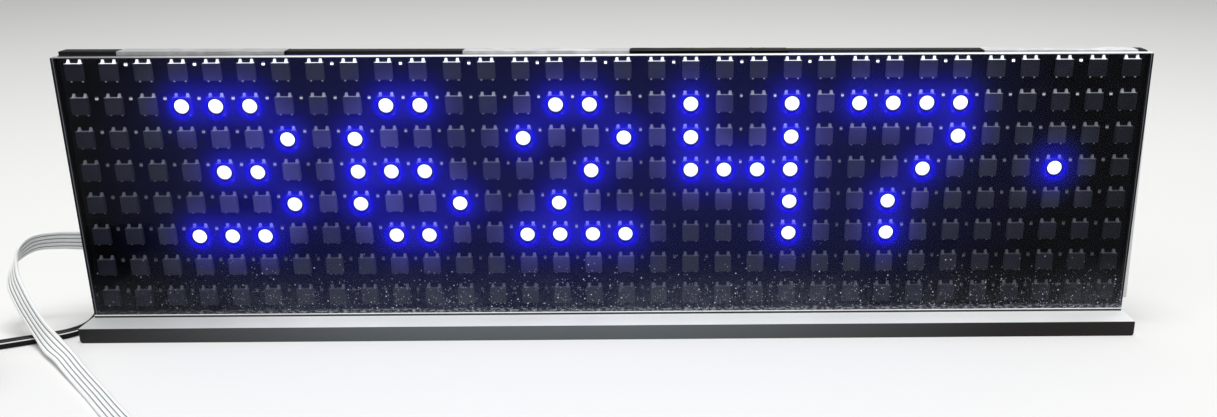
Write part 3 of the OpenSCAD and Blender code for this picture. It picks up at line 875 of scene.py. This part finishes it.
def solder_joint(side, end):
    """A wedge at a housing's upper or lower edge, whose height falls in a hollow curve away from the housing
    and drops to its sides. The lower ones are leaner."""
    lamps = bpy.context.scene.matrix_lamps
    lean = 1.0 if end > 0 else 0.6
    u, v = np.meshgrid(np.linspace(-1, 1, 7), np.linspace(0, 1, 5), indexing="ij")
    rise = (1 - v) ** 1.6 * np.sqrt(np.clip(1 - u ** 2, 0, 1)) ** 0.8
    x = side * lamps.bump_gap / 2 + u * lamps.bump_w * lean / 2 * (1 - 0.3 * v)
    z = end * (LAMP_W / 2 - 0.05 * MM + 1.15 * MM * lean * v)
    top = np.stack([x, -1.25 * MM * lean * rise, z], -1)
    under = top * (1, 0, 1) + (0, 0.02 * MM, 0)
    return shell_of_rings(np.concatenate([top, under[:, ::-1]], 1))


def add_capacitors():
    """A brown block between two tinned caps wherever the frame has a capacitor, as rings of a rounded square,
    drawn in a little on the block."""
    low, high = box("capacitors")
    half_w, half_h, cap, half_d = 0.4 * MM, 0.6 * MM, 0.3 * MM, (high[1] - low[1]) / 2
    heights = np.array([-half_h, cap - half_h, cap - half_h, half_h - cap, half_h - cap, half_h])
    inset = np.array([0, 0, 0.03, 0.03, 0, 0])[:, None] * MM
    section = ring(1.0, 0.0, 16, square=True)[:, [0, 2]]
    section = section * 0.86 + 0.14 * unit(section)
    rings = np.stack([section[:, 0] * (half_w - inset), section[:, 1] * (half_d - inset) - half_d,
                      np.repeat(heights[:, None], len(section), 1)], -1)
    shape, numbers = banded(rings, 2)
    # Each one stands midway between two lamps
    row, gap = cells_at(mesh_points("capacitors") - (PITCH / 2, 0, 0))
    row, gap = np.unique([row, gap], axis=1)
    places = np.stack([GRID_LEFT + (gap + 0.5) * PITCH, np.full(len(row), high[1]),
                       high[2] - half_h - row * PITCH], -1)
    tin = mottled("capacitor_tin", (1100.0,), (0.28, 0.28, 0.27), 0.16, 0.4, 0.02,
                  (0.2, *TIN_LIGHT, *CAP_LIGHT))
    ceramic = mottled("capacitor_ceramic", (1500.0,), (0.4, 0.36, 0.3), (0.52, 0.47, 0.4), 0.35,
                      light=(0.9, *TIN_LIGHT, *CERAMIC_LIGHT))
    shape = repeated(shape, places)
    new_piece("board_capacitors", shape, [tin, ceramic], ("capacitors",),
              np.tile(numbers, len(places)), light_on(shape[0]))


# ---- Sheet ----

class MATRIX_OT_sheet(bpy.types.Operator):
    """Add the smoked front sheet"""
    bl_idname = "matrix.sheet"
    bl_label = "Smoked sheet"

    def execute(self, context):
        """Gives each lamp's cell a rear face of its own, and marks the lit ones."""
        edges_x = GRID_LEFT + (np.arange(COLUMNS + 1) - 0.5) * PITCH
        edges_z = GRID_TOP - (np.arange(ROWS + 1)[::-1] - 0.5) * PITCH
        edges_x[[0, -1]] = SHEET_LOW[0], SHEET_HIGH[0]
        edges_z[[0, -1]] = SHEET_LOW[2], SHEET_HIGH[2]
        rings = slab_rings(edges_x, edges_z, SHEET_FRONT, SHEET_REAR, 0.25 * MM)
        points, faces = shell_of_rings(rings)
        centres = points[faces[:COLUMNS * rings.shape[1]]].mean(1)
        lit = np.zeros(len(faces))
        lit[:len(centres)] = LIT[cells_at(centres)] * (centres[:, 1] > SHEET_REAR - 0.01 * MM)
        new_piece("smoked_sheet", (points, faces), [smoked_sheet()], ("front_sheet",),
                  kept={"lit": lit}, smooth=20)
        return {"FINISHED"}


def smoked_sheet():
    """Tinted clear plastic with a faint mirror, a halo behind each lit lamp, painted highlights on its edges,
    dust that thickens towards the foot and a smear along it."""
    m = Finish("smoked_sheet")
    sheet = bpy.context.scene.matrix_sheet
    x, y, z = (m.axis(letter) for letter in "XYZ")
    see = m.out("BsdfTransparent", {"Color": sheet.tint})
    mirror = m.out("BsdfGlossy", {"Color": 1.0, "Roughness": 0.04})
    body = m.either(m.times(m.out("Fresnel", {"IOR": 1.49}), sheet.gloss), see, mirror)

    across = m.sum("PINGPONG", m.sum("SUBTRACT", x, GRID_LEFT), PITCH / 2)
    up = m.sum("PINGPONG", m.sum("SUBTRACT", z, GRID_TOP - 0.2 * MM), PITCH / 2)
    # The distance from the nearest lamp's middle, in metres
    reach = m.sum("SQRT", m.sum("ADD", m.times(across, across), m.times(up, up)))
    fade = m.between(reach, 2.7 * MM, sheet.halo, 0.84, 0.0)
    share = m.times(fade, m.sum("GREATER_THAN", reach, CUP_RADIUS), m.stored("lit"))
    uneven = m.between(m.noise(500.0, detail=2.0), 0.2, 0.8, 0.85, 1.0)
    rim = m.between(reach, 2.35 * MM, 2.7 * MM, 0.03, 1.0)
    halo = m.out("Emission", {"Color": (0.014, 0.01, 1.0), "Strength": m.times(uneven, rim, 1.55)})
    body = m.either(share, body, halo)

    front = m.between(y, SHEET_FRONT + 0.05 * MM, SHEET_FRONT + 0.2 * MM, 1.0, 0.0)
    height = m.sum("SUBTRACT", z, SHEET_LOW[2])
    low = m.between(height, 0.0, 24 * MM, 1.0, 0.0)
    thin = m.between(x, -0.155, -0.06, 0.45, 1.0)
    haze = m.times(m.sum("POWER", low, 2.0), m.between(m.noise(900.0, detail=4.0), 0.35, 0.7, 0.35, 1.0),
                   m.between(m.noise(45.0, detail=4.0), 0.3, 0.75, 0.03, 0.12))
    smear = m.times(m.between(m.noise(1.0, (700, 1, 1700), 5.0), 0.42, 0.66, 0.06, 0.5),
                    m.between(height, 1.0 * MM, 2.6 * MM, 1.0, 0.0))
    dust = m.sum("MAXIMUM", specks(m, low, 1300.0, 0.3, 0.65, 0.45), specks(m, low, 620.0, 0.17, 0.55, 1.0))
    film = m.times(m.sum("MAXIMUM", m.sum("MAXIMUM", haze, smear), dust), thin)
    film = m.sum("MULTIPLY", film, front, clamp=True)
    body = m.either(film, body, m.out("BsdfDiffuse", {"Color": (0.6, 0.66, 0.76)}))

    # The rear's black border, black sides with one painted highlight line where the edge carries light, a
    # painted highlight along the foot, and a sawn top with a painted highlight that grows to the right
    out = m.sum("ABSOLUTE", x)
    border = m.times(m.between(out, SHEET_HIGH[0] - 1.25 * MM, SHEET_HIGH[0] - 1.15 * MM),
                     m.between(y, SHEET_REAR - 0.05 * MM, SHEET_REAR - 0.01 * MM))
    body = m.either(border, body, m.surface((0.006, 0.006, 0.007), 0.6, Specular_IOR_Level=0.1))
    # The light line on the sides is a painted highlight of light carried along the edge.
    line = m.between(m.apart(y, SHEET_FRONT + 1.4 * MM), 0.18 * MM, 0.3 * MM, 1.0, 0.0)
    side = m.surface(m.blend(line, (0.012, 0.012, 0.013), (0.85, 0.86, 0.87)), 0.4)
    body = m.either(m.between(out, SHEET_HIGH[0] - 0.02 * MM, SHEET_HIGH[0] - 0.005 * MM), body, side)
    # The pale, faintly glowing line along the foot is a painted highlight.
    foot = m.times(m.between(z, SHEET_LOW[2] + 0.4 * MM, SHEET_LOW[2] + 0.5 * MM, 1.0, 0.0),
                   m.between(y, SHEET_FRONT + 0.4 * MM, SHEET_FRONT + 0.5 * MM, 1.0, 0.0))
    pale = m.surface((0.93, 0.94, 0.95), 0.35, Emission_Color=1.0, Emission_Strength=0.25)
    body = m.either(foot, body, pale)
    # The top is painted dark at the left and pale to the right: a painted highlight.
    painted_highlight_right = m.between(x, SHEET_LOW[0], SHEET_LOW[0] * 0.45)
    sawn = m.surface(m.blend(painted_highlight_right, 0.16, (0.9, 0.91, 0.92)), 0.35)
    return m.done(m.either(m.between(z, SHEET_HIGH[2] - 0.2 * MM, SHEET_HIGH[2] - 0.02 * MM), body, sawn))


def specks(m, low, scale, size, share, strength):
    """Round dust grains: scattered dots of which fewer are kept the higher they lie."""
    chosen = m.axis("X", m.cells(scale, "Color"))
    kept = m.sum("LESS_THAN", chosen, m.times(m.sum("POWER", low, 1.6), share))
    return m.times(m.between(m.cells(scale), size * 0.5, size, 1.0, 0.0), kept, strength)


# ---- Bar and brackets ----

class MATRIX_OT_bar(bpy.types.Operator):
    """Add the metal bar, the brackets, their pads and screws"""
    bl_idname = "matrix.bar"
    bl_label = "Bar and brackets"

    def execute(self, context):
        color = tuple(context.scene.matrix_metal.bar)
        softened("base_bar", 0.35, bar_metal(color), name="bar")
        m = Finish("bracket_metal")
        tone, grain = drawn_metal(m, color, (3000, 3000, 40), 28.0, 0.93, 0.12, 0.8)
        bracket = m.plain(tone, m.between(m.noise(90.0), 0.3, 0.7, 0.36, 0.5), grain, Metallic=0.75)
        softened("bracket_left", 0.3, bracket)
        softened("bracket_right", 0.3, bracket)
        softened("bracket_screws", 0.12,
                 mottled("screw_steel", (1500.0,), (0.58, 0.58, 0.56), (0.7, 0.7, 0.68), 0.32, 0.01,
                         Metallic=1.0))
        m = Finish("pad_foam")
        pores = m.cells(2200.0)
        # The tone is darker in the pores: painted shade in them.
        tone = m.blend(m.between(pores, 0.1, 0.6), (0.62, 0.62, 0.6), (0.84, 0.84, 0.82))
        foam = m.plain(tone, 0.85, m.bump(pores, 0.08))
        dress("bracket_pads", foam)
        dress("input_board_pad", foam)
        dress("foot_tape", mottled("foot_tape_black", (400.0,), 0.012, 0.03, 0.6))
        return {"FINISHED"}


def bar_metal(color):
    """Satin metal with painted shade towards the left end, and a front painted dark as a painted reflection
    of dark surroundings, paler in the middle.
    """
    m = Finish("bar_metal")
    low = box("base_bar")[0]
    tone, grain = drawn_metal(m, color, (30, 2600, 2600), 26.0, 0.94, 0.1, 0.82)
    x = m.axis("X")
    # The front face is painted dark as a painted reflection of dark surroundings, paler in the middle.
    front = m.between(m.axis("Y"), low[1] + 0.02 * MM, low[1] + 0.12 * MM, 1.0, 0.0)
    painted_reflection_middle = m.between(m.apart(x, -0.02), 0.02, 0.16, 1.0, 0.0)
    dark = m.blend(painted_reflection_middle, (0.013, 0.01, 0.01), (0.12, 0.135, 0.145))
    # Away from the front, the tone fades darker towards the left end: painted shade.
    tone = m.blend(front, m.scaled(tone, m.between(x, low[0], low[0] + 0.09, 0.62, 1.0)), dark)
    rough = m.between(m.noise(90.0), 0.3, 0.7, 0.4, 0.52)
    return m.plain(tone, rough, grain, Metallic=0.12, Specular_IOR_Level=0.2)


# ---- Backing and tapes ----

class MATRIX_OT_backing(bpy.types.Operator):
    """Add the backing plate and the tapes"""
    bl_idname = "matrix.backing"
    bl_label = "Backing and tapes"

    def execute(self, context):
        softened("backing_plate", 0.3, card_face())
        # Three copies of one tape colour, darker to the left and paler to the right: painted shade and
        # painted light.
        for seed, side, shade in ((1, "left", 0.6), (2, "centre", 0.9), (3, "right", 1.15)):
            silver = silver_cloth("silver_cloth_" + side, shaded(context.scene.matrix_metal.tape, shade))
            tape_piece("silver_tape_" + side, "silver_strip_" + side, silver, seed)
        black = mottled("black_cloth", (1.0, (60, 300, 300), 4.0), 0.001, (0.005, 0.005, 0.006), (0.4, 0.6),
                        0.03, span=(0.4, 0.7), relief=lambda m: m.cells(1800.0), Specular_IOR_Level=0.03)
        tape_piece("black_tape", "black_strip", black, 9)
        dress("edge_tape", mottled("pale_paper", (1.0, (900, 900, 300)), (0.86, 0.86, 0.85),
                                   (0.93, 0.93, 0.92), 0.7, 0.03, span=(0.3, 0.7)))
        return {"FINISHED"}


def tape_piece(node, name, material, seed):
    """A strip of tape folded over the plate: s walks up the front lip, back over the top and down the rear,
    with small rounds at the folds. It stands proud by a sum of slanting waves and a few sharp creases."""
    places = mesh_points(node)
    low, high = places.min(0), places.max(0)
    near_end = 0.3 * MM
    top_left = places[places[:, 0] < low[0] + near_end][:, 2].max()
    top_right = places[places[:, 0] > high[0] - near_end][:, 2].max()
    lip, first_round, second_round, fold_depth = 1.3 * MM, 0.5 * MM, 0.9 * MM, 0.12 * MM
    wide, top_run, back_run = high - low
    rear = lip + top_run
    s = np.concatenate([np.linspace(0, lip, 7), lip + np.linspace(0, top_run, 15)[1:],
                        rear + np.linspace(0, back_run, 44)[1:]])
    u, s = np.meshgrid(np.linspace(0, 1, 90), s, indexing="ij")
    x, y = low[0] + u * wide, low[1] + np.clip(s - lip, 0, top_run)
    z = top_left + (top_right - top_left) * u - fold_depth
    z -= np.clip(lip - s, 0, lip) + np.clip(s - rear, 0, back_run)
    # The way out of the strip turns smoothly through each fold
    angle = (eased((s - lip) / first_round + 0.5) + eased((s - rear) / second_round + 0.5)) * np.pi / 2
    random = np.random.default_rng(seed)
    lift = np.zeros_like(u)
    for k in range(7):
        slope, shift = random.uniform(-0.7, 0.7), random.uniform(0, 2 * np.pi)
        rate = random.uniform(0.6, 2.6) / (4 * MM)
        lift += 0.01 * MM * np.sin((x + slope * s) * rate + shift)
    for k in range(5):
        at, lean, height = random.uniform(0.08, 0.92), random.uniform(-0.5, 0.5), random.uniform(0.03, 0.1)
        gap = (u - at) * wide - lean * (s - lip - top_run * 0.5)
        lift += height * MM * np.exp(-(gap / (0.35 * MM)) ** 2)
    lift -= fold_depth * (np.exp(-((s - lip) / first_round) ** 2) + np.exp(-((s - rear) / second_round) ** 2))
    way = np.stack([np.zeros_like(u), -np.cos(angle), np.sin(angle)], -1)
    outer = np.stack([x, y, z], -1) + way * lift[..., None]
    inner = outer - way * 0.2 * MM
    new_piece(name, shell_of_rings(np.concatenate([outer, inner[:, ::-1]], 1)), [material], (node,),
              smooth=50)


def silver_cloth(name, color):
    """A woven scrim under a shiny skin, with darker rubs."""
    m = Finish(name)
    rub = m.noise(160.0, detail=5.0)
    tone = m.blend(m.between(rub, 0.42, 0.72), shaded(color, 0.7), color)
    normal = m.bump(m.bands("X", 420.0, 0.6), 0.02, m.bump(rub, 0.12))
    return m.plain(tone, m.between(rub, 0.3, 0.7, 0.3, 0.45), normal, Metallic=0.3)


def card_face():
    """Black card on foam: paper fibres and light scuffs."""
    m = Finish("card_face")
    fibre = m.noise(1.0, (700, 700, 2200), 4.0)
    scuff = m.between(m.noise(1.0, (30, 30, 220), 5.0), 0.6, 0.72, 0.0, 0.6)
    tone = m.blend(scuff, m.blend(fibre, (0.005, 0.005, 0.006), (0.014, 0.014, 0.015)), (0.032, 0.032, 0.03))
    return m.plain(tone, m.between(fibre, 0.3, 0.7, 0.6, 0.8), m.bump(fibre, 0.02),
                   Specular_IOR_Level=0.12)


# ---- Input board ----

class MATRIX_OT_inputs(bpy.types.Operator):
    """Add the small board behind the panel that the cords enter"""
    bl_idname = "matrix.inputs"
    bl_label = "Input board"

    def execute(self, context):
        softened("input_board", 0.12, green_mask())
        softened("ribbon_socket", 0.2, moulded("socket_plastic", (0.82, 0.8, 0.74), 0.45))
        softened("power_terminal", 0.25,
                 moulded("terminal_plastic", (0.03, 0.22, 0.08), 0.4))
        dress("feed_pins", mottled("pin_metal", (2500.0,), (0.72, 0.6, 0.36), (0.8, 0.7, 0.46), 0.3,
                                   Metallic=1.0))
        return {"FINISHED"}


def green_mask():
    """Green solder mask with straight copper runs showing through it."""
    m = Finish("green_mask")
    lanes = m.sum("PINGPONG", m.sum("SUBTRACT", m.axis("Z"), box("input_board")[0, 2]), 1.4 * MM)
    run = m.between(lanes, 0.45 * MM, 0.55 * MM)
    cut = m.between(m.noise(1.0, (70, 70, 357), 0.0), 0.47, 0.5)
    tone = m.blend(m.times(run, cut), (0.012, 0.11, 0.045), (0.03, 0.22, 0.09))
    return m.plain(tone, 0.28, m.bump(run, 0.02))


# ---- Panel and run ----

STEPS = ("stage", "cords", "lamps", "board", "sheet", "bar", "backing", "inputs")
GROUPS = {"matrix_stage": MatrixStageSettings, "matrix_lamps": MatrixLampSettings,
          "matrix_sheet": MatrixSheetSettings, "matrix_metal": MatrixMetalSettings,
          "matrix_cords": MatrixCordSettings}


class MATRIX_PT_panel(bpy.types.Panel):
    """Lists the steps and their settings in the sidebar"""
    bl_idname = "MATRIX_PT_panel"
    bl_label = "LED dot matrix"
    bl_space_type = "VIEW_3D"
    bl_region_type = "UI"
    bl_category = "Matrix"

    def draw(self, context):
        """One button for each step, and every setting below them."""
        for step in STEPS:
            self.layout.operator("matrix." + step)
        for key, group in GROUPS.items():
            column = self.layout.box().column()
            for name in group.__annotations__:
                column.prop(getattr(context.scene, key), name)


CLASSES = (*GROUPS.values(), MATRIX_OT_stage, MATRIX_OT_cords, MATRIX_OT_lamps, MATRIX_OT_board,
           MATRIX_OT_sheet, MATRIX_OT_bar, MATRIX_OT_backing, MATRIX_OT_inputs, MATRIX_PT_panel)


def register():
    """Makes the settings, steps and panel known to Blender."""
    for entry in CLASSES:
        bpy.utils.register_class(entry)
    for key, group in GROUPS.items():
        setattr(bpy.types.Scene, key, PointerProperty(type=group))


def unregister():
    """Takes them away again."""
    for key in GROUPS:
        delattr(bpy.types.Scene, key)
    for entry in reversed(CLASSES):
        bpy.utils.unregister_class(entry)


def main():
    register()
    for step in STEPS:
        getattr(bpy.ops.matrix, step)()


if __name__ == "__main__":
    main()
